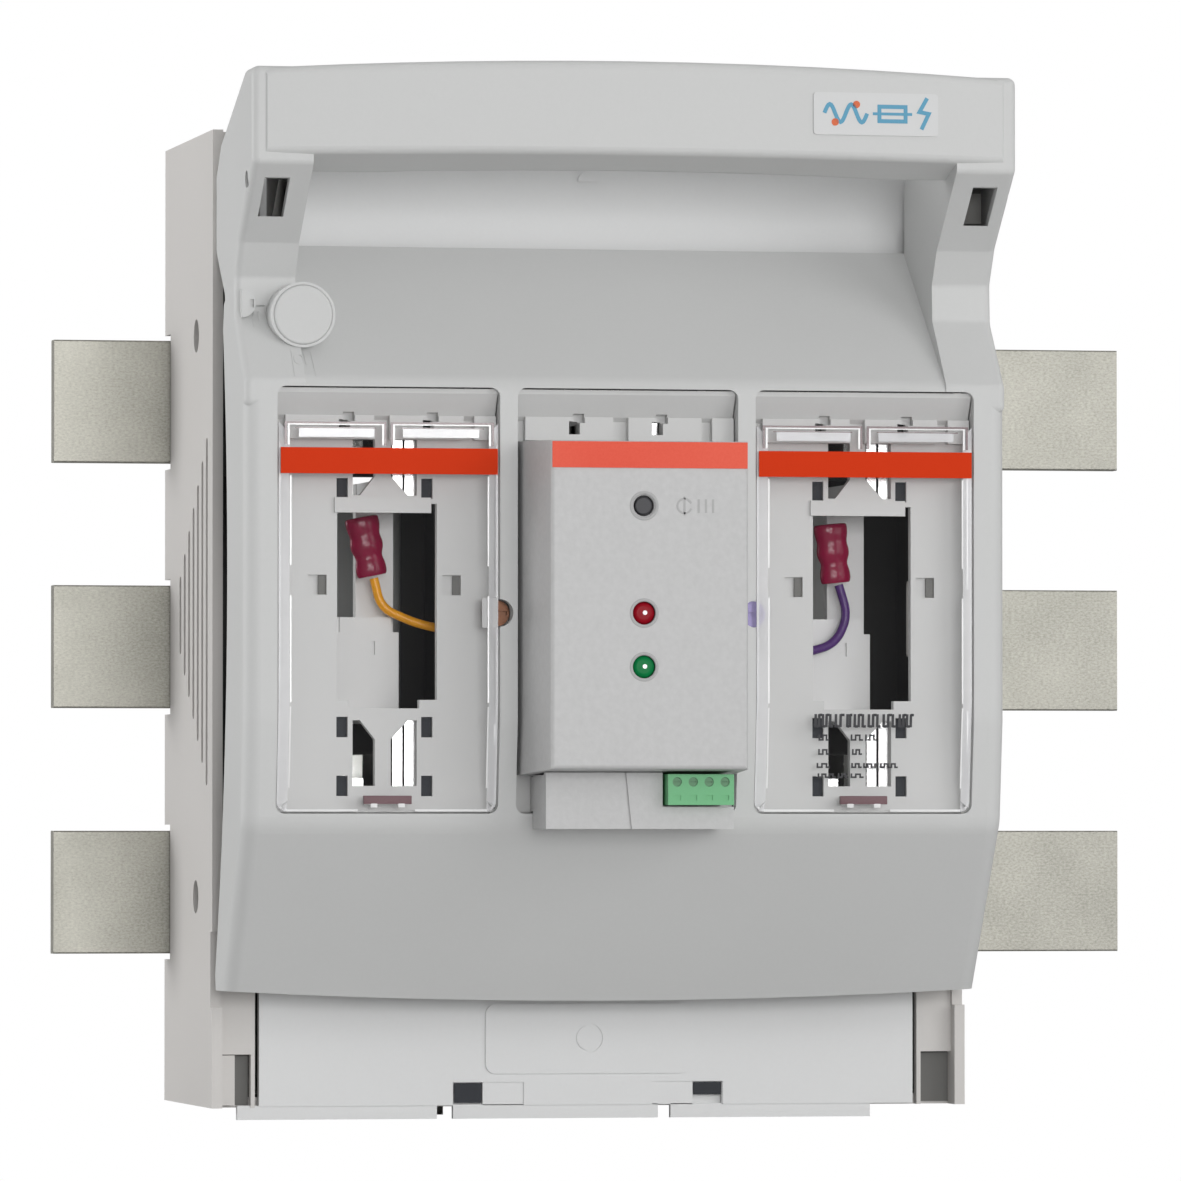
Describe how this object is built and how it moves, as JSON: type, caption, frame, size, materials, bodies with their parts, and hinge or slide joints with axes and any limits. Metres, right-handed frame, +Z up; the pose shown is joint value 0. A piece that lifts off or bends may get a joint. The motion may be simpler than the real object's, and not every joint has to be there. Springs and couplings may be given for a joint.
{
  "type": "fuse switch disconnector",
  "caption": "Busbar-mounted fuse switch disconnector with a swing-down handle cover, viewing windows, a fuse monitor with lamps and test button, and cable terminals below.",
  "frame": {"origin": "middle of the front face of the middle busbar, on the housing's centre line", "axes": "+X to the right seen from the front, +Y away from the viewer into the wall, +Z up"},
  "size_m": [0.268, 0.1431, 0.2492],
  "materials": {
    "housing_plastic": "fine moulded texture, light grey",
    "shroud_plastic": "fine moulded texture, light grey",
    "cover_plastic": "fine moulded texture, light grey",
    "carrier_plastic": "moulded, light grey",
    "insulator_plastic": "moulded, pale grey",
    "chute_plastic": "moulded, dark grey",
    "silver_plated_copper": "silver plated, satin",
    "tinned_copper": "tinned, speckled",
    "steel": "zinc plated",
    "spring_steel": "bright",
    "brass": "turned",
    "clear_plastic": "clear polycarbonate",
    "band_red": "printed band, orange red",
    "band_coral": "printed band, coral red",
    "lamp_red": "dark red lens",
    "lamp_green": "dark green lens",
    "black_plastic": "black",
    "plug_green": "moulded, green",
    "board_green": "solder resist",
    "tab_insulation": "translucent maroon sleeve",
    "lead_yellow": "insulation, yellow orange",
    "lead_violet": "insulation, violet",
    "label_white": "printed label"
  },
  "bodies": {
    "base": {"upper_jaw_left": "silver_plated_copper", "lower_jaw_left": "silver_plated_copper", "feed_bar_left": "tinned_copper", "busbar_hook_left": "steel", "cable_clamp_left": "steel", "strap_cover_left": "insulator_plastic", "arc_chute_left": "chute_plastic", "upper_jaw_centre": "silver_plated_copper", "lower_jaw_centre": "silver_plated_copper", "feed_bar_centre": "tinned_copper", "busbar_hook_centre": "steel", "cable_clamp_centre": "steel", "strap_cover_centre": "insulator_plastic", "arc_chute_centre": "chute_plastic", "upper_jaw_right": "silver_plated_copper", "lower_jaw_right": "silver_plated_copper", "feed_bar_right": "tinned_copper", "busbar_hook_right": "steel", "cable_clamp_right": "steel", "strap_cover_right": "insulator_plastic", "arc_chute_right": "chute_plastic", "busbar_upper": "tinned_copper", "busbar_middle": "tinned_copper", "busbar_lower": "tinned_copper", "base_housing": "housing_plastic", "lower_shroud": "shroud_plastic", "upper_shroud": "shroud_plastic", "hook_screws": "steel", "clamp_screws": "steel", "arc_plates": "steel", "hinge_pins": "steel", "jaw_springs": "spring_steel"},
    "cover": {"cover_shell": "cover_plastic", "fuse_carrier_left": "carrier_plastic", "fuse_carrier_centre": "carrier_plastic", "fuse_carrier_right": "carrier_plastic", "grip_clips": "spring_steel", "monitor_housing": "cover_plastic", "monitor_base": "cover_plastic", "monitor_band": "band_coral", "circuit_board": "board_green", "lamp_red": "lamp_red", "lamp_green": "lamp_green", "terminal_plug": "plug_green", "plug_screws": "steel", "cover_screws": "brass", "blanking_disc": "cover_plastic", "handle_label": "label_white", "tab_holder_left": "insulator_plastic", "tab_holder_right": "insulator_plastic", "tab_connector_left": "tab_insulation", "tab_connector_right": "tab_insulation", "sense_lead_left": "lead_yellow", "sense_lead_right": "lead_violet"},
    "window_left": {"window_left": "clear_plastic", "window_band_left": "band_red"},
    "window_right": {"window_right": "clear_plastic", "window_band_right": "band_red"},
    "test_button": {"test_button": "black_plastic"}
  },
  "joints": [
    {"name": "cover_hinge", "type": "hinge", "parent": "base", "child": "cover", "pos_m": [0, -0.072, -0.076], "axis": [1, 0, 0], "range_deg": [0, 85]},
    {"name": "window_left_slide", "type": "slide", "parent": "cover", "child": "window_left", "axis": [0, 0, 1], "range_m": [0, 0.007]},
    {"name": "window_right_slide", "type": "slide", "parent": "cover", "child": "window_right", "axis": [0, 0, 1], "range_m": [0, 0.007]},
    {"name": "test_button_press", "type": "slide", "parent": "cover", "child": "test_button", "axis": [0, 1, 0], "range_m": [0, 0.0008], "stiffness_N_per_m": 1500}
  ]
}
